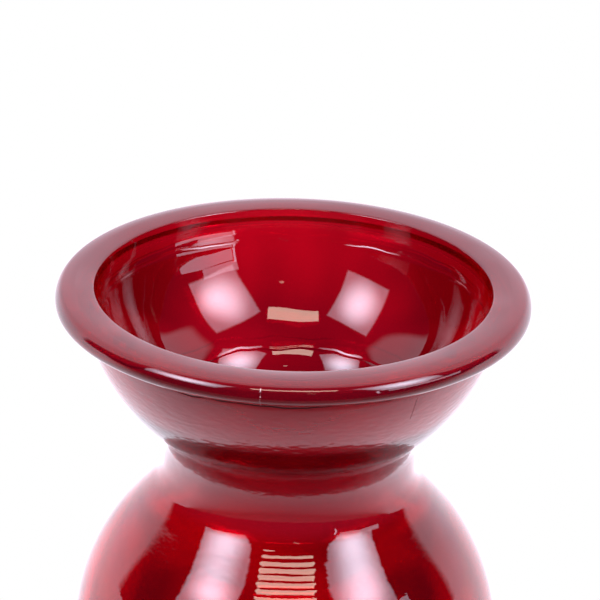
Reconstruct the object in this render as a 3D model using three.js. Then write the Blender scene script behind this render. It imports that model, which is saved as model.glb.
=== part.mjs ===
// Hourglass vase of ruby glass: an open bowl with a flat beaded rim, over a hollow globe, joined by a short waist.
// The body is pressed and blown clear glass. A thin layer of ruby glass is flashed over its outside.
// Millimetres, +Z up. The origin is the centre of the foot, on the surface that the vase stands on.

import * as THREE from "three";

// Rim
const mouthRadius = 54;
const mouthBevel = 0.5;
const rimFlatWidth = 8.7;
const beadReach = 1.9;
const beadDrop = 3.6;
const beadUnderCurve = 2.4;
const rimHollowCurve = 1.5;

// Bowl, less than half a ball, so its centre is above the rim
const bowlWall = 4.4;
const bowlCentreRise = 4.3;

// Waist
const waistBoreRadius = 30.1;
const waistWall = 5.3;
const upperWaistCurve = 24;
const lowerWaistCurve = 11;

// Globe, with a straight shoulder up to the waist's lower curve
const shoulderLength = 13.3;
const globeRadius = 60.7;
const globeWall = 3.2;

// Foot
const footRadius = 34;
const footRingWidth = 5;
const heelCurve = 4;
const pushUp = 3;
const baseThickness = 5;
const innerHeelCurve = 14;

// Ruby layer
const layerThickness = 0.6;
const layerFootClearance = 2.5;

// Facets
const facetsAround = 40;
const facetsInQuarter = 8;

// Heights, built up from the foot
const reach = (hypotenuse, side) => Math.sqrt(hypotenuse ** 2 - side ** 2);
const waistRadius = waistBoreRadius + waistWall;
const innerBowlRadius = Math.hypot(mouthRadius, bowlCentreRise);
const bowlRadius = innerBowlRadius + bowlWall;
const innerGlobeRadius = globeRadius - globeWall;
const globeHeight = heelCurve + reach(globeRadius - heelCurve, footRadius);
const shoulderReach = Math.hypot(globeRadius + lowerWaistCurve, shoulderLength);
const shoulderTurn = Math.atan2(shoulderLength, globeRadius + lowerWaistCurve);
const shoulderAngle = Math.acos((waistRadius + lowerWaistCurve) / shoulderReach) - shoulderTurn;
const waistHeight = globeHeight + reach(shoulderReach, waistRadius + lowerWaistCurve);
const bowlHeight = waistHeight + reach(bowlRadius + upperWaistCurve, waistRadius + upperWaistCurve);
const rimHeight = bowlHeight - bowlCentreRise;
const floorHeight = pushUp + baseThickness;

// Bead
const beadRadius = mouthRadius + rimFlatWidth + beadReach;
const beadHeight = rimHeight - beadDrop;
const beadOverCurve = (beadReach ** 2 + beadDrop ** 2) / (2 * beadReach);
const rimUnderside = beadHeight - beadUnderCurve;
const rimHollowHeight = rimUnderside - rimHollowCurve;
const rimHollowRadius = reach(bowlRadius + rimHollowCurve, bowlHeight - rimHollowHeight);

const QUARTER = Math.PI / 2;
const HALF = Math.PI;

// Profile points on a circle, with angles turning from outwards to upwards.
function arc(centre, radius, from, to) {
  const steps = Math.max(1, Math.round((facetsInQuarter * Math.abs(to - from)) / QUARTER));
  const points = [];
  for (let i = 0; i <= steps; i += 1) {
    const angle = from + ((to - from) * i) / steps;
    const r = centre.x + radius * Math.cos(angle);
    const z = centre.y + radius * Math.sin(angle);
    points.push(new THREE.Vector2(r, z));
  }
  return points;
}

const angleTo = (from, to) => Math.atan2(to.y - from.y, to.x - from.x);
const at = (r, z) => new THREE.Vector2(r, z);

const globeCentre = at(0, globeHeight);
const bowlCentre = at(0, bowlHeight);
const lowerWaistCentre = at(waistRadius + lowerWaistCurve, waistHeight);
const upperWaistCentre = at(waistRadius + upperWaistCurve, waistHeight);
const rimHollowCentre = at(rimHollowRadius, rimHollowHeight);
const beadUnderCentre = at(beadRadius - beadUnderCurve, beadHeight);
const beadOverCentre = at(beadRadius - beadOverCurve, beadHeight);
const heelCentre = at(footRadius, heelCurve);

const layerEdgeAngle = Math.asin((layerFootClearance - globeHeight) / globeRadius);

// The outside from the ruby layer's lower edge up to the mouth, at a depth below the real surface.
// Curves that swell outwards shrink by the depth, and hollow ones grow by it.
function outside(depth) {
  const turnToBowl = angleTo(upperWaistCentre, bowlCentre);
  const beadEnd = Math.asin((beadDrop - depth) / (beadOverCurve - depth));
  return [
    ...arc(globeCentre, globeRadius - depth, layerEdgeAngle, shoulderAngle),
    ...arc(lowerWaistCentre, lowerWaistCurve + depth, HALF + shoulderAngle, HALF),
    ...arc(upperWaistCentre, upperWaistCurve + depth, HALF, turnToBowl).slice(1),
    ...arc(bowlCentre, bowlRadius - depth, turnToBowl - HALF, angleTo(bowlCentre, rimHollowCentre)).slice(1),
    ...arc(rimHollowCentre, rimHollowCurve + depth, angleTo(rimHollowCentre, bowlCentre), QUARTER).slice(1),
    ...arc(beadUnderCentre, beadUnderCurve - depth, -QUARTER, 0),
    ...arc(beadOverCentre, beadOverCurve - depth, 0, beadEnd).slice(1),
  ];
}

// The circle that blends a ball of glass into the waist's bore, met at the waist's height.
function boreCurve(ballRadius, rise) {
  const numerator = waistBoreRadius ** 2 + rise ** 2 - ballRadius ** 2;
  return numerator / (2 * (ballRadius - waistBoreRadius));
}

// The inside from just below the mouth down to the middle of the floor.
function inside() {
  const upperCurve = boreCurve(innerBowlRadius, bowlHeight - waistHeight);
  const lowerCurve = boreCurve(innerGlobeRadius, waistHeight - globeHeight);
  const upperCentre = at(waistBoreRadius + upperCurve, waistHeight);
  const lowerCentre = at(waistBoreRadius + lowerCurve, waistHeight);
  const innerHeelHeight = floorHeight + innerHeelCurve;
  const innerHeelRadius = reach(innerGlobeRadius - innerHeelCurve, globeHeight - innerHeelHeight);
  const innerHeelCentre = at(innerHeelRadius, innerHeelHeight);
  const mouthAngle = -Math.asin((bowlCentreRise + layerThickness) / innerBowlRadius);
  const turnToBowl = angleTo(upperCentre, bowlCentre);
  const turnToGlobe = angleTo(lowerCentre, globeCentre) + 2 * HALF;
  const heelAngle = angleTo(globeCentre, innerHeelCentre);
  return [
    ...arc(bowlCentre, innerBowlRadius, mouthAngle, turnToBowl - HALF),
    ...arc(upperCentre, upperCurve, turnToBowl, HALF).slice(1),
    ...arc(lowerCentre, lowerCurve, HALF, turnToGlobe).slice(1),
    ...arc(globeCentre, innerGlobeRadius, turnToGlobe - HALF, heelAngle).slice(1),
    ...arc(innerHeelCentre, innerHeelCurve, heelAngle, -QUARTER).slice(1),
    at(0, floorHeight),
  ];
}

// The bare glass under the vase: the hollow push-up, the ring it stands on and the heel.
function underside() {
  const ringInnerRadius = footRadius - footRingWidth;
  const pushUpCurve = (ringInnerRadius ** 2 + pushUp ** 2) / (2 * pushUp);
  const pushUpCentre = at(0, pushUp - pushUpCurve);
  const pushUpEnd = angleTo(pushUpCentre, at(ringInnerRadius, 0));
  const heelEnd = angleTo(globeCentre, heelCentre);
  return [
    ...arc(pushUpCentre, pushUpCurve, QUARTER, pushUpEnd),
    ...arc(heelCentre, heelCurve, -QUARTER, heelEnd),
    ...arc(globeCentre, globeRadius, heelEnd, layerEdgeAngle).slice(1),
  ];
}

// A profile turned round the vase's axis, stood upright.
function turned(profile) {
  const geometry = new THREE.LatheGeometry(profile, facetsAround);
  geometry.rotateX(QUARTER);
  return geometry;
}

// Clear glass body: the whole wall of the vase, with a shallow rebate outside for the ruby layer.
function glassBody() {
  const material = new THREE.MeshStandardMaterial({ color: 0xe6d2d2, roughness: 0.08, metalness: 0 });
  const profile = [...underside(), ...outside(layerThickness), ...inside()];
  const mesh = new THREE.Mesh(turned(profile), material);
  mesh.name = "glass_body";
  return mesh;
}

// Ruby layer: a skin of coloured glass, from just above the foot over the bead and the flat rim to the mouth.
function rubyLayer() {
  const material = new THREE.MeshStandardMaterial({ color: 0x8c0412, roughness: 0.06, metalness: 0 });
  const skin = [...outside(0), at(mouthRadius + mouthBevel, rimHeight)];
  const mouthSeat = inside()[0];
  const seat = [...outside(layerThickness), mouthSeat].reverse();
  const profile = [...skin, ...seat, skin[0]];
  const mesh = new THREE.Mesh(turned(profile), material);
  mesh.name = "ruby_layer";
  return mesh;
}

const vase = new THREE.Group();
vase.add(glassBody(), rubyLayer());

export default vase;
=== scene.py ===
# Hourglass vase of ruby glass, on a white floor under two softboxes and a warm strip lamp.
# Metres, +Z up. The origin is the centre of the foot, on the surface that the vase stands on.

import math

import bpy
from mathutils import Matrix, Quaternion, Vector


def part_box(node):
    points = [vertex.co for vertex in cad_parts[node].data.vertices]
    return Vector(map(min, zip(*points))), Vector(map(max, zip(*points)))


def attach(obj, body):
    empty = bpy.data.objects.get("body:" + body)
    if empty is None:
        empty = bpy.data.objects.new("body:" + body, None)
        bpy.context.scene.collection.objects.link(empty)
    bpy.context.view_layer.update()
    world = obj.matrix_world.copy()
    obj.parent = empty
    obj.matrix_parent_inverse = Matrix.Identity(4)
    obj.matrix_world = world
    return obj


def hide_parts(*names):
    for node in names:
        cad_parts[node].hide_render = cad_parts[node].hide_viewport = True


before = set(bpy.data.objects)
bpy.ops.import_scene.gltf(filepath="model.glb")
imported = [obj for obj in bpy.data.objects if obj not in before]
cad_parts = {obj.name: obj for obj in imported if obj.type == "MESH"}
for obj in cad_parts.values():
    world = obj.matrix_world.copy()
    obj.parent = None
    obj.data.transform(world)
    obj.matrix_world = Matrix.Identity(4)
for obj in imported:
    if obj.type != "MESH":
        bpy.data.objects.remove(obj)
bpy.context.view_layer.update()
MM = 0.001

# Vase wall.
# One wall of pressed and blown glass runs from the foot, through the globe, the open waist and the bowl,
# to the flat beaded rim. Its outline is drawn once, from the push-up round to the floor inside, and spun.

# The crown stays a hair below the top of the frame's box
top_clearance = 0.01 * MM
rim_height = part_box("ruby_layer")[1].z - top_clearance
bead_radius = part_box("ruby_layer")[1].x

# Rim
mouth_radius = 54 * MM
mouth_round = 0.45 * MM
crown_radius = 59.2 * MM
crown_inner_curve = 37 * MM
crown_outer_curve = 15.6 * MM
crown_outer_tilt = math.radians(11.8)
bead_drop = 3.6 * MM
bead_side_curve = 3.79 * MM
bead_turn = math.radians(45)
bead_under_curve = 2.4 * MM
rim_hollow_curve = 1.5 * MM

# Bowl
bowl_wall = 4.4 * MM
bowl_centre_rise = 4.3 * MM
inner_bowl_radius = math.hypot(mouth_radius, bowl_centre_rise)
bowl_radius = inner_bowl_radius + bowl_wall

# Waist
waist_bore_radius = 30.1 * MM
waist_wall = 5.3 * MM
waist_radius = waist_bore_radius + waist_wall
upper_waist_curve = 24 * MM
lower_waist_curve = 11 * MM

# Globe
shoulder_length = 13.3 * MM
globe_radius = 60.7 * MM
globe_wall = 3.2 * MM
inner_globe_radius = globe_radius - globe_wall

# Foot
foot_radius = 34 * MM
foot_ring_width = 5 * MM
heel_curve = 4 * MM
push_up = 3 * MM
floor_thickness = 5 * MM
inner_heel_curve = 14 * MM

# Fineness of the mesh
step_along = 1.35 * MM
steps_around = 248
ring_steps = 3
shoulder_steps = 10
floor_steps = 8
bead_under_steps = 10
bead_side_steps = 8
merge_distance = 0.002 * MM

QUARTER = math.pi / 2
HALF = math.pi


def reach(hypotenuse, side):
    return math.sqrt(hypotenuse**2 - side**2)


def angle_to(start, end):
    return math.atan2(end[1] - start[1], end[0] - start[0])


def on_circle(centre, radius, angle):
    return centre[0] + radius * math.cos(angle), centre[1] + radius * math.sin(angle)


# Centres of the outline's arcs, as radius and height
shoulder_reach = math.hypot(globe_radius + lower_waist_curve, shoulder_length)
shoulder_turn = math.atan2(shoulder_length, globe_radius + lower_waist_curve)
shoulder_angle = math.acos((waist_radius + lower_waist_curve) / shoulder_reach) - shoulder_turn
bowl_height = rim_height + bowl_centre_rise
waist_height = bowl_height - reach(bowl_radius + upper_waist_curve, waist_radius + upper_waist_curve)
globe_height = waist_height - reach(shoulder_reach, waist_radius + lower_waist_curve)
bead_height = rim_height - bead_drop
rim_underside = bead_height - bead_under_curve
rim_hollow_height = rim_underside - rim_hollow_curve
rim_hollow_radius = reach(bowl_radius + rim_hollow_curve, bowl_height - rim_hollow_height)
ring_inner_radius = foot_radius - foot_ring_width
push_up_curve = (ring_inner_radius**2 + push_up**2) / (2 * push_up)
floor_height = push_up + floor_thickness
inner_heel_height = floor_height + inner_heel_curve
inner_heel_radius = reach(inner_globe_radius - inner_heel_curve, globe_height - inner_heel_height)

# The bead's side meets its shoulder halfway up its turn, and the shoulder's curve runs into the crown's
crown_edge = QUARTER - crown_outer_tilt
crown_edge_radius = crown_radius + crown_outer_curve * math.cos(crown_edge)
shoulder_start_radius = bead_radius - bead_side_curve * (1 - math.cos(bead_turn))
shoulder_width = shoulder_start_radius - crown_edge_radius
bead_shoulder_curve = shoulder_width / (math.cos(bead_turn) - math.cos(crown_edge))

globe_centre = (0, globe_height)
bowl_centre = (0, bowl_height)
lower_waist_centre = (waist_radius + lower_waist_curve, waist_height)
upper_waist_centre = (waist_radius + upper_waist_curve, waist_height)
rim_hollow_centre = (rim_hollow_radius, rim_hollow_height)
bead_under_centre = (bead_radius - bead_under_curve, bead_height)
bead_side_centre = (bead_radius - bead_side_curve, bead_height)
bead_shoulder_centre = (
    shoulder_start_radius - bead_shoulder_curve * math.cos(bead_turn),
    bead_height + (bead_side_curve - bead_shoulder_curve) * math.sin(bead_turn),
)
crown_outer_centre = (crown_radius, rim_height - crown_outer_curve)
crown_inner_centre = (crown_radius, rim_height - crown_inner_curve)
heel_centre = (foot_radius, heel_curve)
inner_heel_centre = (inner_heel_radius, inner_heel_height)
push_up_centre = (0, push_up - push_up_curve)

# The small circle at the mouth touches the rim's crown and the bowl's inside
crown_reach = crown_inner_curve - mouth_round
mouth_reach = inner_bowl_radius + mouth_round
centre_gap = math.hypot(crown_radius, crown_inner_curve + bowl_centre_rise)
gap_angle = angle_to(bowl_centre, crown_inner_centre)
gap_cosine = (mouth_reach**2 + centre_gap**2 - crown_reach**2) / (2 * mouth_reach * centre_gap)
mouth_centre = on_circle(bowl_centre, mouth_reach, gap_angle + math.acos(gap_cosine))
mouth_start = angle_to(crown_inner_centre, mouth_centre)
mouth_end = angle_to(mouth_centre, bowl_centre)


def bore_curve(ball_radius, rise):
    """The circle that blends a ball of glass into the waist's bore."""
    return (waist_bore_radius**2 + rise**2 - ball_radius**2) / (2 * (ball_radius - waist_bore_radius))


upper_bore_curve = bore_curve(inner_bowl_radius, bowl_height - waist_height)
lower_bore_curve = bore_curve(inner_globe_radius, waist_height - globe_height)
upper_bore_centre = (waist_bore_radius + upper_bore_curve, waist_height)
lower_bore_centre = (waist_bore_radius + lower_bore_curve, waist_height)


def start_outline(radius, height):
    """One loose vertex, left selected in edit mode."""
    bpy.ops.object.select_all(action="DESELECT")
    bpy.ops.mesh.primitive_plane_add(size=MM, location=(radius, 0, height))
    bpy.ops.object.transform_apply(location=True, rotation=False, scale=False)
    bpy.ops.object.mode_set(mode="EDIT")
    bpy.ops.mesh.select_all(action="SELECT")
    bpy.ops.mesh.merge(type="CENTER")
    return bpy.context.object


def draw_arc(centre, radius, start, end, least_steps=6):
    """Spins the outline's last vertex about an arc's centre. Angles turn from outwards to upwards."""
    steps = max(least_steps, round(radius * abs(end - start) / step_along))
    bpy.ops.mesh.spin(
        steps=steps, angle=end - start, center=(centre[0], 0, centre[1]), axis=(0, 1, 0)
    )
    return on_circle(centre, radius, end)


def draw_line(start, end, steps=1):
    """Extrudes the outline's last vertex along a straight stretch."""
    move = ((end[0] - start[0]) / steps, 0, (end[1] - start[1]) / steps)
    for _ in range(steps):
        bpy.ops.mesh.extrude_region_move(TRANSFORM_OT_translate={"value": move})
    return end


vase = start_outline(0, push_up)
vase.name = "vase"

# Under the vase
push_up_end = angle_to(push_up_centre, (ring_inner_radius, 0))
ring_start = on_circle(push_up_centre, push_up_curve, push_up_end)
draw_arc(push_up_centre, push_up_curve, QUARTER, angle_to(push_up_centre, ring_start))
draw_line(ring_start, (foot_radius, 0), steps=ring_steps)
heel_end = angle_to(globe_centre, heel_centre)
draw_arc(heel_centre, heel_curve, -QUARTER, heel_end)

# Globe, shoulder and waist outside
shoulder_start = draw_arc(globe_centre, globe_radius, heel_end, shoulder_angle)
shoulder_end = on_circle(lower_waist_centre, lower_waist_curve, HALF + shoulder_angle)
draw_line(shoulder_start, shoulder_end, steps=shoulder_steps)
draw_arc(lower_waist_centre, lower_waist_curve, HALF + shoulder_angle, HALF)
waist_end = angle_to(upper_waist_centre, bowl_centre)
draw_arc(upper_waist_centre, upper_waist_curve, HALF, waist_end)

# Bowl outside, the hollow under the rim and the bead
draw_arc(bowl_centre, bowl_radius, waist_end - HALF, angle_to(bowl_centre, rim_hollow_centre))
under_start = draw_arc(
    rim_hollow_centre, rim_hollow_curve, angle_to(rim_hollow_centre, bowl_centre), QUARTER
)
under_end = on_circle(bead_under_centre, bead_under_curve, -QUARTER)
draw_line(under_start, under_end)
draw_arc(bead_under_centre, bead_under_curve, -QUARTER, 0, least_steps=bead_under_steps)
draw_arc(bead_side_centre, bead_side_curve, 0, bead_turn, least_steps=bead_side_steps)
draw_arc(bead_shoulder_centre, bead_shoulder_curve, bead_turn, crown_edge)

# Face of the rim, crowned a little, and the mouth's rounded edge
draw_arc(crown_outer_centre, crown_outer_curve, crown_edge, QUARTER)
draw_arc(crown_inner_centre, crown_inner_curve, QUARTER, mouth_start)
draw_arc(mouth_centre, mouth_round, mouth_start, mouth_end)

# Inside, from the mouth down to the middle of the floor
bore_start = angle_to(upper_bore_centre, bowl_centre)
draw_arc(bowl_centre, inner_bowl_radius, angle_to(bowl_centre, mouth_centre), bore_start - HALF)
draw_arc(upper_bore_centre, upper_bore_curve, bore_start, HALF)
bore_end = angle_to(lower_bore_centre, globe_centre) + 2 * HALF
draw_arc(lower_bore_centre, lower_bore_curve, HALF, bore_end)
inner_heel_start = angle_to(globe_centre, inner_heel_centre)
draw_arc(globe_centre, inner_globe_radius, bore_end - HALF, inner_heel_start)
floor_edge = draw_arc(inner_heel_centre, inner_heel_curve, inner_heel_start, -QUARTER)
draw_line(floor_edge, (0, floor_height), steps=floor_steps)

# Spin the outline, close the seam and the two poles, and turn every face outwards
bpy.ops.mesh.select_all(action="SELECT")
bpy.ops.mesh.spin(steps=steps_around, angle=2 * HALF, center=(0, 0, 0), axis=(0, 0, 1))
bpy.ops.mesh.select_all(action="SELECT")
bpy.ops.mesh.remove_doubles(threshold=merge_distance)
bpy.ops.mesh.normals_make_consistent(inside=False)
bpy.ops.object.mode_set(mode="OBJECT")
bpy.ops.object.shade_smooth()

# Ruby glass, the finish of the whole wall.
# Clear glass, with its colour laid on at the faces, thickest at the waist and thinnest on the blown globe.
# The mould and the fire left waves, ripples, two grooves and a seam. Use left chips and a scratch. The
# groove under the bead is darkened with painted shade.

ruby_glass = bpy.data.materials.new("ruby_glass")
ruby_glass.use_nodes = True

# The functions below work on the material in hand, whose nodes, links and place stand under these names
nodes = ruby_glass.node_tree.nodes
links = ruby_glass.node_tree.links
place = nodes.new("ShaderNodeTexCoord").outputs["Object"]


def feed(value, socket):
    """Links an output to a socket, or sets the socket to a number."""
    if isinstance(value, bpy.types.NodeSocket):
        links.new(value, socket)
    else:
        socket.default_value = value


def math_node(operation, first, second=0.0):
    node = nodes.new("ShaderNodeMath")
    node.operation = operation
    feed(first, node.inputs[0])
    feed(second, node.inputs[1])
    return node.outputs["Value"]


def product(first, *others):
    for other in others:
        first = math_node("MULTIPLY", first, other)
    return first


def total(first, *others):
    for other in others:
        first = math_node("ADD", first, other)
    return first


def rest_of(share):
    """What a share leaves of the whole."""
    return math_node("SUBTRACT", 1.0, share)


def distance_from(value, middle):
    return math_node("ABSOLUTE", math_node("SUBTRACT", value, middle))


def ramp(value, start, end, low=0.0, high=1.0, way="SMOOTHSTEP"):
    """A soft step from low to high as the value goes from start to end."""
    node = nodes.new("ShaderNodeMapRange")
    node.interpolation_type = way
    node.inputs["From Min"].default_value = start
    node.inputs["From Max"].default_value = end
    node.inputs["To Min"].default_value = low
    node.inputs["To Max"].default_value = high
    links.new(value, node.inputs["Value"])
    return node.outputs["Result"]


def fade(value, start, end):
    """A soft step from all down to nothing."""
    return ramp(value, start, end, low=1.0, high=0.0)


def between(value, rise, fall):
    """A soft step up over the stretch called rise, and down again over the one called fall."""
    return product(ramp(value, *rise), fade(value, *fall))


def noise_at(scale, stretch=(1, 1, 1), detail=1.0):
    """Noise with so many lumps to the metre."""
    mapping = nodes.new("ShaderNodeMapping")
    mapping.inputs["Scale"].default_value = stretch
    links.new(place, mapping.inputs["Vector"])
    noise = nodes.new("ShaderNodeTexNoise")
    noise.inputs["Scale"].default_value = scale
    noise.inputs["Detail"].default_value = detail
    links.new(mapping.outputs["Vector"], noise.inputs["Vector"])
    return noise.outputs["Fac"]


def wander(scale, width):
    """Noise that swings to both sides of nothing."""
    return product(math_node("SUBTRACT", noise_at(scale), 0.5), width)


def vector_node(operation, first, second=None):
    node = nodes.new("ShaderNodeVectorMath")
    node.operation = operation
    feed(first, node.inputs[0])
    if second is not None:
        feed(second, node.inputs[1])
    return node.outputs


def split(vector):
    """The parts of a vector: across, front to back, and up."""
    node = nodes.new("ShaderNodeSeparateXYZ")
    links.new(vector, node.inputs["Vector"])
    return node.outputs["X"], node.outputs["Y"], node.outputs["Z"]


def blend_colour(share, first, second, way="MIX"):
    node = nodes.new("ShaderNodeMix")
    node.data_type = "RGBA"
    node.blend_type = way
    feed(share, node.inputs["Factor"])
    feed(first, node.inputs["A"])
    feed(second, node.inputs["B"])
    return node.outputs["Result"]


def painted(colour, roughness):
    """An opaque finish."""
    shader = nodes.new("ShaderNodeBsdfPrincipled")
    feed(colour, shader.inputs["Base Color"])
    shader.inputs["Roughness"].default_value = roughness
    return shader


def lay_over(share, under, over):
    """One finish laid over another, by its share."""
    mix = nodes.new("ShaderNodeMixShader")
    links.new(share, mix.inputs["Fac"])
    links.new(under, mix.inputs[1])
    links.new(over, mix.inputs[2])
    return mix.outputs["Shader"]


across, front_to_back, height = split(place)

# Colour of the glass by height, with soft streaks
globe_colour = (0.70, 0.003, 0.013, 1)
waist_colour = (0.29, 0.0010, 0.0080, 1)
bowl_colour = (0.40, 0.0012, 0.0085, 1)
rim_colour = (0.40, 0.003, 0.016, 1)
globe_to_waist = (101 * MM, 114 * MM)
waist_to_bowl = (127 * MM, 137 * MM)
bowl_to_bead = (151.5 * MM, 154.5 * MM)
streak_scale = 30
streak_stretch = (1, 1, 0.6)
streak_detail = 2
streak_edge = (0.3, 0.7)
streak_strength = 0.27

colour = blend_colour(ramp(height, *globe_to_waist), globe_colour, waist_colour)
colour = blend_colour(ramp(height, *waist_to_bowl), colour, bowl_colour)
colour = blend_colour(ramp(height, *bowl_to_bead), colour, rim_colour)
streaks = noise_at(streak_scale, stretch=streak_stretch, detail=streak_detail)
streak_level = ramp(streaks, *streak_edge, low=1 - streak_strength, high=1 + streak_strength)
streak_grey = nodes.new("ShaderNodeCombineColor")
for channel in ("Red", "Green", "Blue"):
    links.new(streak_level, streak_grey.inputs[channel])
colour = blend_colour(1.0, colour, streak_grey.outputs["Color"], way="MULTIPLY")

# A face counts as outside where the side that is seen looks away from the vase's axis
surface_side = nodes.new("ShaderNodeNewGeometry").outputs
from_axis = vector_node("MULTIPLY", place, (1, 1, 0))["Vector"]
facing = vector_node("DOT_PRODUCT", from_axis, surface_side["Normal"])["Value"]
outside = math_node("GREATER_THAN", facing, 0.0)
inside = rest_of(outside)

# Light that slants through the wall takes a longer way and comes out darker, most of all in the bowl
bowl_slant_depth = 0.78
bowl_slant_foot = (118 * MM, 128 * MM)
bowl_slant_edge = (0.1, 0.5)
wall_slant_edge = (0.35, 0.75)

facing_away = nodes.new("ShaderNodeLayerWeight").outputs["Facing"]
in_bowl = product(ramp(height, *bowl_slant_foot), inside)
bowl_slant = product(ramp(facing_away, *bowl_slant_edge, high=bowl_slant_depth), in_bowl)
slant = math_node("MAXIMUM", bowl_slant, ramp(facing_away, *wall_slant_edge))
colour = blend_colour(slant, colour, blend_colour(1.0, colour, colour, way="MULTIPLY"))

# Waves all over, calmer on the rim, and more of them on the inside
wave_height = 1.3 * MM
wave_scale = 22
calm_stretch = (148 * MM, 153 * MM)
calm_level = 0.35
inner_wave_height = 0.8 * MM
inner_wave_scale = 32

calm_rim = ramp(height, *calm_stretch, low=1.0, high=calm_level)
waves = product(noise_at(wave_scale), product(calm_rim, wave_height))
inner_waves = product(noise_at(inner_wave_scale), inner_wave_height, inside)

# Ripples run round the outside, weak on the globe and strongest from the neck to the middle of the bowl
ripple_height = 0.06 * MM
ripple_stretch = (330, 330, 800)
ripple_end = (142 * MM, 154 * MM)
ripple_change = (105 * MM, 122 * MM)
globe_ripple_share = 0.3
bowl_ripple_share = 1.3

ripple_share = ramp(height, *ripple_change, low=globe_ripple_share, high=bowl_ripple_share)
ripples = product(noise_at(1, stretch=ripple_stretch), ripple_height, fade(height, *ripple_end))
ripples = product(ripples, ripple_share, outside)

# The shoulder is a little steeper near its top
shoulder_swell = 0.32 * MM
swell_stretch = (94.5 * MM, 103 * MM)

swell = product(ramp(height, *swell_stretch, high=shoulder_swell), outside)

# Fine wrinkles lie one over another on the front of the shoulder
wrinkle_height = 0.0095 * MM
wrinkle_pitch = 1.5 * MM
wrinkle_drift = 0.9 * MM
wrinkle_drift_scale = 60
wrinkle_foot = (85 * MM, 87 * MM)
wrinkle_top = (97 * MM, 98 * MM)
wrinkle_side = (7 * MM, 9.8 * MM)
wrinkle_front = (-30 * MM, -34 * MM)

drift = product(noise_at(wrinkle_drift_scale), wrinkle_drift)
wrinkle_turn = product(total(height, drift), 2 * math.pi / wrinkle_pitch)
wrinkles = product(math_node("SINE", wrinkle_turn), wrinkle_height)
in_band = between(height, wrinkle_foot, wrinkle_top)
in_middle = fade(math_node("ABSOLUTE", across), *wrinkle_side)
in_front = ramp(front_to_back, *wrinkle_front)
wrinkles = product(wrinkles, in_band, product(in_middle, in_front, outside))

# One groove runs round the neck, and one under the bead. Both waver a little
groove_depth = 0.05 * MM
groove_half_width = 0.5 * MM
groove_wander = 2.5 * MM
groove_wander_scale = 90
neck_groove_height = 122.3 * MM
rim_groove_height = 149.6 * MM

wavering_height = total(height, wander(groove_wander_scale, groove_wander))
neck_groove_distance = distance_from(wavering_height, neck_groove_height)
rim_groove_distance = distance_from(wavering_height, rim_groove_height)
neck_groove = ramp(neck_groove_distance, 0, groove_half_width, low=-groove_depth, high=0.0)
rim_groove = ramp(rim_groove_distance, 0, groove_half_width, low=-groove_depth, high=0.0)

# The mould's seam stands up on the front of the bead
seam_place = -7.6 * MM
seam_half_width = 0.26 * MM
seam_height = 0.10 * MM
seam_wander = 1.2 * MM
seam_wander_scale = 500
seam_foot = (152.4 * MM, 153.4 * MM)
seam_top = (157.5 * MM, 158 * MM)
seam_front = (-58 * MM, -60 * MM)

seam_line = total(wander(seam_wander_scale, seam_wander), seam_place)
on_bead = product(ramp(front_to_back, *seam_front), ramp(height, *seam_foot), fade(height, *seam_top))
seam = product(fade(distance_from(across, seam_line), 0, seam_half_width), on_bead)

relief = total(waves, ripples, inner_waves, swell, wrinkles, neck_groove, rim_groove)
relief = total(relief, product(seam, seam_height))
bump = nodes.new("ShaderNodeBump")
bump.inputs["Distance"].default_value = 1.0
links.new(relief, bump.inputs["Height"])

# The glass itself, with its foot ground flat and scuffed
glass_index = 1.5
ground_top = (4.5 * MM, 5.5 * MM)
ground_roughness = 0.3

glass = nodes["Principled BSDF"]
glass.inputs["Transmission Weight"].default_value = 1
glass.inputs["IOR"].default_value = glass_index
links.new(ramp(height, *ground_top, low=ground_roughness, high=0.0), glass.inputs["Roughness"])
links.new(colour, glass.inputs["Base Color"])
links.new(bump.outputs["Normal"], glass.inputs["Normal"])

# An opaque red is mixed into the outside above the shoulder, and into the rim's face. Real glass has none.
# It brings the reds of the thick wall near the photograph's, and shows only from outside the glass
neck_body = (0.24, 0.004, 0.012, 1)
band_shade_body = (0.055, 0.001, 0.003, 1)
bowl_body = (0.32, 0.005, 0.014, 1)
bead_body = (0.10, 0.001, 0.004, 1)
rim_body = (0.18, 0.003, 0.007, 1)
wall_body_share = 0.5
band_shade_share = 0.68
rim_body_share = 0.7
wall_body_foot = (98 * MM, 104 * MM)
band_foot = (121 * MM, 123.5 * MM)
band_top = (131 * MM, 136 * MM)
bead_to_rim = (156.5 * MM, 158 * MM)
rim_face = (157.8 * MM, 158.2 * MM)

# Where the bowl meets the neck, the opaque colour is nearly black and its share is larger: painted shade
# for the band that lies in shadow
in_shaded_band = between(height, band_foot, band_top)
body_colour = blend_colour(in_shaded_band, neck_body, band_shade_body)
body_colour = blend_colour(ramp(height, *band_top), body_colour, bowl_body)
body_colour = blend_colour(ramp(height, *bowl_to_bead), body_colour, bead_body)
body_colour = blend_colour(ramp(height, *bead_to_rim), body_colour, rim_body)
body = painted(body_colour, roughness=0)
body.inputs["IOR"].default_value = glass_index
links.new(bump.outputs["Normal"], body.inputs["Normal"])

more_in_band = product(in_shaded_band, band_shade_share - wall_body_share)
on_wall = total(more_in_band, ramp(height, *wall_body_foot, high=wall_body_share))
on_wall = product(on_wall, outside)
on_rim = math_node("MAXIMUM", outside, ramp(height, *rim_face))
on_rim = product(on_rim, ramp(height, *bowl_to_bead, high=rim_body_share))
from_outside = rest_of(surface_side["Backfacing"])
body_share = product(math_node("MAXIMUM", on_wall, on_rim), from_outside)
surface = lay_over(body_share, glass.outputs["BSDF"], body.outputs["BSDF"])

# Pale chips lie along the seam, fewer on its lowest stretch
chip_colour = (0.70, 0.50, 0.50, 1)
chip_roughness = 0.45
chip_scale = 1100
chip_edge = (0.48, 0.56)
chipped_ridge = (0.45, 0.75)
chip_foot = (154.2 * MM, 155.2 * MM)
low_chip_share = 0.35

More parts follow.
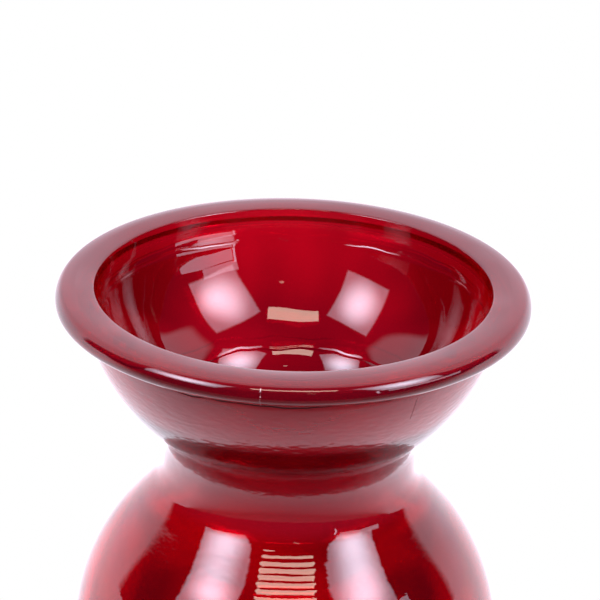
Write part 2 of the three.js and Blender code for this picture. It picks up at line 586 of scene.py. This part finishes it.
chip_share = product(ramp(seam, *chipped_ridge), ramp(noise_at(chip_scale), *chip_edge))
chip_share = product(chip_share, ramp(height, *chip_foot, low=low_chip_share))
chip = painted(chip_colour, chip_roughness)
surface = lay_over(chip_share, surface, chip.outputs["BSDF"])

# Painted shade darkens the groove under the bead, with gaps
shade_and_scratch_colour = (0.02, 0.002, 0.004, 1)
shade_and_scratch_roughness = 0.6
shade_and_scratch_gloss = 0.1
crease_half_width = 0.26 * MM
crease_core = 0.5 * crease_half_width
crease_gap_scale = 45
crease_gap_edge = (0.28, 0.40)

groove_shade = fade(rim_groove_distance, crease_core, crease_half_width)
groove_shade = product(groove_shade, product(outside, ramp(noise_at(crease_gap_scale), *crease_gap_edge)))

# The same dark finish also marks a hairline scratch that leans across the front of the bowl
hairline_place = 30.7 * MM
hairline_foot = (140.4 * MM, 141.4 * MM)
hairline_top = (147.4 * MM, 148.4 * MM)
hairline_lean = 0.215
hairline_half_width = 0.17 * MM
hairline_share = 0.7

hairline_shift = product(math_node("SUBTRACT", height, hairline_foot[0]), hairline_lean)
hairline_distance = distance_from(math_node("SUBTRACT", across, hairline_shift), hairline_place)
hairline = ramp(hairline_distance, 0, hairline_half_width, low=hairline_share, high=0.0)
hairline = product(hairline, ramp(height, *hairline_foot), fade(height, *hairline_top))
hairline = product(hairline, math_node("LESS_THAN", front_to_back, 0.0), outside)

# One dark finish serves both: painted shade in the groove under the bead, and the scratch's own dark line
shade_and_scratch = painted(shade_and_scratch_colour, shade_and_scratch_roughness)
shade_and_scratch.inputs["Specular IOR Level"].default_value = shade_and_scratch_gloss
surface = lay_over(math_node("MAXIMUM", groove_shade, hairline), surface, shade_and_scratch.outputs["BSDF"])
links.new(surface, nodes["Material Output"].inputs["Surface"])

# Inside the wall the glass swallows some green and blue on the way
depth_colour = (0.985, 0.4, 0.7, 1)
depth_density = 150

depth = nodes.new("ShaderNodeVolumeAbsorption")
depth.inputs["Color"].default_value = depth_colour
depth.inputs["Density"].default_value = depth_density
links.new(depth.outputs["Volume"], nodes["Material Output"].inputs["Volume"])
vase.data.materials.append(ruby_glass)

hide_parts("glass_body", "ruby_layer")
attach(vase, "root")

# Camera.
# It looks down into the bowl from 24 degrees above the rim, through a long lens, and leans a little, as in
# the photograph. The middle of the mouth falls a little left of and above the middle of the picture.

picture_width = 600
mouth_pixel = (293.46, 283.03)
camera_distance = 678.8 * MM
camera_elevation = math.radians(23.8)
camera_roll = math.radians(1.517)
pixels_per_unit = 2508.3
sensor_width = 36
nearest_seen = 10 * MM

camera_data = bpy.data.cameras.new("camera")
camera_data.sensor_width = sensor_width
camera_data.lens = sensor_width * pixels_per_unit / picture_width
camera_data.clip_start = nearest_seen
camera = bpy.data.objects.new("camera", camera_data)
bpy.context.scene.collection.objects.link(camera)
bpy.context.scene.camera = camera
mouth = Vector((0, 0, rim_height))
back = Vector((0, -math.cos(camera_elevation), math.sin(camera_elevation)))
camera.location = mouth + camera_distance * back
aim_right = math.atan((picture_width / 2 - mouth_pixel[0]) / pixels_per_unit)
aim_down = math.atan((picture_width / 2 - mouth_pixel[1]) / pixels_per_unit)
to_mouth = (-back).to_track_quat("-Z", "Y")
turn_right = Quaternion((0, 1, 0), -aim_right)
turn_down = Quaternion((1, 0, 0), -aim_down)
lean = Quaternion((0, 0, 1), camera_roll)
camera.rotation_mode = "QUATERNION"
camera.rotation_quaternion = to_mouth @ turn_right @ turn_down @ lean

# Floor.
# A white table top with its front edge a forearm's length before the vase. To the camera it fades to pure
# white away from the vase. What shows of it through the glass, and in the glass, is painted here as well.

floor_front = -0.40
floor_back = 1.6
floor_half_width = 1.6
floor_shade_colour = (0.5, 0.49, 0.49, 1)
floor_roughness = 0.6
shadow_fade = (0.080, 0.118)

bpy.ops.object.select_all(action="DESELECT")
bpy.ops.mesh.primitive_plane_add(size=1)
floor = bpy.context.object
floor.name = "floor"
floor.scale = (2 * floor_half_width, floor_back - floor_front, 1)
floor.location = (0, (floor_back + floor_front) / 2, 0)
bpy.ops.object.transform_apply(location=True, rotation=False, scale=True)

floor_white = bpy.data.materials.new("floor_white")
floor_white.use_nodes = True
nodes = floor_white.node_tree.nodes
links = floor_white.node_tree.links
place = nodes.new("ShaderNodeTexCoord").outputs["Object"]
near = vector_node("LENGTH", place)["Value"]
sideways, behind, _ = split(place)
beside = math_node("ABSOLUTE", sideways)
kind = nodes.new("ShaderNodeLightPath").outputs

# The floor's paint is a mid grey, a painted shade round the vase on top of the shadow that the vase casts,
# and gives way to pure white away from it
paint = nodes["Principled BSDF"]
paint.inputs["Base Color"].default_value = floor_shade_colour
paint.inputs["Roughness"].default_value = floor_roughness
plain = product(kind["Is Camera Ray"], ramp(near, *shadow_fade))
seen_share = math_node("MAXIMUM", plain, kind["Is Transmission Ray"])

# The shade that shows through the glass is painted at a fixed place, and isn't cast by the vase. It lies
# round and behind the vase, darkest at its near corners, with a fainter patch to both sides of its far end
under_shade = 0.6
shade_level = 0.45
under_fade = (0.080, 0.100)
shade_side = (0.052, 0.068)
shade_end = (0.21, 0.30)
corner_depth = 0.22
corner_start = (0.095, 0.110)
corner_end = (0.122, 0.150)
corner_side = (0.015, 0.045)
patch_depth = 0.36
patch_inner_side = (0.03, 0.07)
patch_outer_side = (0.095, 0.125)
patch_start = (0.29, 0.32)
patch_end = (0.37, 0.42)

corner = between(near, corner_start, corner_end)
corner = product(corner, ramp(beside, *corner_side, high=corner_depth))
shade = math_node("SUBTRACT", ramp(near, *under_fade, low=under_shade, high=shade_level), corner)
lit = math_node("MAXIMUM", ramp(beside, *shade_side), ramp(behind, *shade_end))
shade = total(shade, product(lit, rest_of(shade)))
patch = product(ramp(beside, *patch_inner_side, high=patch_depth), fade(beside, *patch_outer_side))
patch = product(patch, ramp(behind, *patch_start), fade(behind, *patch_end))
shade = math_node("SUBTRACT", shade, patch)
darker = product(kind["Is Transmission Ray"], rest_of(shade))
white = nodes.new("ShaderNodeEmission")
links.new(rest_of(darker), white.inputs["Strength"])
seen_floor = lay_over(seen_share, paint.outputs["BSDF"], white.outputs["Emission"])

# The glass mirrors a floor that is dim in front of the vase and overexposed beside and behind it
mirrored_colour = (1.0, 0.95, 1.08, 1)
mirrored_front = -0.20
mirrored_dim = 0.3
mirrored_bright = 2.0

mirrored_white = nodes.new("ShaderNodeEmission")
mirrored_white.inputs["Color"].default_value = mirrored_colour
level = ramp(behind, mirrored_front, 0, low=mirrored_dim, high=mirrored_bright, way="LINEAR")
links.new(level, mirrored_white.inputs["Strength"])
mirrored = math_node("SUBTRACT", kind["Is Glossy Ray"], kind["Is Transmission Ray"])
mirrored_share = math_node("MAXIMUM", mirrored, 0.0)
surface = lay_over(mirrored_share, seen_floor, mirrored_white.outputs["Emission"])
links.new(surface, nodes["Material Output"].inputs["Surface"])
floor.data.materials.append(floor_white)

# Backdrop.
# The world is white to the camera and through the glass, and grey to all else but mirrored light. What the
# glass mirrors is the studio: a white sweep behind and at the sides, which leans forward overhead, and the
# dark room before it.

room_colour = (0.03, 0.008, 0.06, 1)
sweep_colour = (1.0, 0.93, 1.10)
sweep_low_level = 2.0
sweep_high_level = 1.45
sweep_level_change = (0, 0.5)
sweep_low_edge = 0.33
sweep_high_edge = -0.06
sweep_edge_change = (0.30, 0.62)
sweep_softness = (-0.04, 0.06)
horizon = (-0.02, 0.02)
ambient_level = 0.45
pure_white = (1, 1, 1, 1)

world = bpy.data.worlds.new("studio")
bpy.context.scene.world = world
world.use_nodes = True
nodes = world.node_tree.nodes
links = world.node_tree.links
place = nodes.new("ShaderNodeTexCoord").outputs["Generated"]
_, behind, up = split(place)
kind = nodes.new("ShaderNodeLightPath").outputs

edge_place = ramp(up, *sweep_edge_change, low=sweep_low_edge, high=sweep_high_edge)
sweep_edge = product(ramp(up, *horizon), edge_place)
in_sweep = ramp(math_node("SUBTRACT", behind, sweep_edge), *sweep_softness)
sweep = nodes.new("ShaderNodeVectorMath")
sweep.operation = "SCALE"
sweep.inputs[0].default_value = sweep_colour
sweep_level = ramp(up, *sweep_level_change, low=sweep_low_level, high=sweep_high_level)
links.new(sweep_level, sweep.inputs["Scale"])
mirrored = blend_colour(in_sweep, room_colour, sweep.outputs["Vector"])
ambient = (ambient_level, ambient_level, ambient_level, 1)
unseen = blend_colour(kind["Is Glossy Ray"], ambient, mirrored)
seen = math_node("MAXIMUM", kind["Is Camera Ray"], kind["Is Transmission Ray"])
links.new(blend_colour(seen, unseen, pure_white), nodes["Background"].inputs["Color"])

# Lamps.
# Two softboxes, left and right of the camera and above it, each brightest in its middle, a warm strip lamp
# between them, higher up, and four small lamps whose reflections lie beside theirs.
# Only reflections show them.

lamp_centre = Vector((0, 0, 0.13))
# The energy of a lamp of one square metre at a radiance of one
energy_per_radiance = 4
softbox_colour = (0.90, 0.92, 1.12)
warm_colour = (1.0, 0.86, 0.70)


def lamp_at(name, azimuth, elevation, distance, size, colour, radiance, roll=0):
    """A flat lamp that faces the vase. Azimuth turns from the camera to the right."""
    data = bpy.data.lights.new(name, "AREA")
    data.shape = "RECTANGLE"
    data.size, data.size_y = size
    data.color = colour
    data.energy = energy_per_radiance * size[0] * size[1] * radiance
    lamp = bpy.data.objects.new(name, data)
    bpy.context.scene.collection.objects.link(lamp)
    turn = math.radians(azimuth)
    rise = math.radians(elevation)
    way = Vector((math.sin(turn) * math.cos(rise), -math.cos(turn) * math.cos(rise), math.sin(rise)))
    lamp.location = lamp_centre + distance * way
    lamp.rotation_mode = "QUATERNION"
    upright = way.to_track_quat("Z", "Y")
    lamp.rotation_quaternion = upright @ Quaternion((0, 0, 1), math.radians(roll))
    lamp.visible_camera = False
    return lamp


right_softbox = lamp_at(
    "right_softbox",
    azimuth=55.4,
    elevation=34.3,
    distance=0.8,
    size=(0.47, 0.47),
    colour=softbox_colour,
    radiance=10,
    roll=2,
)
left_softbox = lamp_at(
    "left_softbox",
    azimuth=-53,
    elevation=35.4,
    distance=0.8,
    size=(0.49, 0.40),
    colour=softbox_colour,
    radiance=10,
    roll=3,
)

# A softbox's cloth is brightest where its bulb is, and fades out at its edges
cloth_dim = 0.28
cloth_bright = 1.5
patch_spread = 0.55
cloth_middle = (0.5, 0.5, 0)
cloth_edge = (0.45, 0.5)

for softbox in (right_softbox, left_softbox):
    softbox.data.use_nodes = True
    nodes = softbox.data.node_tree.nodes
    links = softbox.data.node_tree.links
    place = nodes.new("ShaderNodeNewGeometry").outputs["Parametric"]
    from_middle = vector_node("SUBTRACT", place, cloth_middle)["Vector"]
    from_bulb = vector_node("LENGTH", from_middle)["Value"]
    sideways, endways, _ = split(from_middle)
    to_edge = math_node("MAXIMUM", math_node("ABSOLUTE", sideways), math_node("ABSOLUTE", endways))
    patch = ramp(from_bulb, 0, patch_spread, low=cloth_bright, high=cloth_dim)
    links.new(product(patch, fade(to_edge, *cloth_edge)), nodes["Emission"].inputs["Strength"])

lamp_at(
    "strip_lamp",
    azimuth=1.5,
    elevation=50.6,
    distance=2.4,
    size=(1.34, 0.315),
    colour=warm_colour,
    radiance=7,
)
lamp_at(
    "low_panel",
    azimuth=58.7,
    elevation=12.5,
    distance=0.353,
    size=(0.223, 0.05),
    colour=softbox_colour,
    radiance=2.8,
    roll=-4,
)
lamp_at(
    "step_panel",
    azimuth=49.7,
    elevation=20.2,
    distance=0.362,
    size=(0.133, 0.035),
    colour=softbox_colour,
    radiance=2.8,
    roll=-4,
)
lamp_at(
    "upright_strip",
    azimuth=38,
    elevation=9.5,
    distance=0.8,
    size=(0.02, 0.19),
    colour=softbox_colour,
    radiance=5,
)
lamp_at(
    "small_lamp",
    azimuth=9.4,
    elevation=31.4,
    distance=0.8,
    size=(0.05, 0.022),
    colour=warm_colour,
    radiance=3.7,
)

# Light crosses many faces of glass before it comes out
most_bounces = 40

scene = bpy.context.scene
scene.view_settings.view_transform = "Standard"
scene.cycles.max_bounces = most_bounces
scene.cycles.transmission_bounces = most_bounces
scene.cycles.glossy_bounces = most_bounces
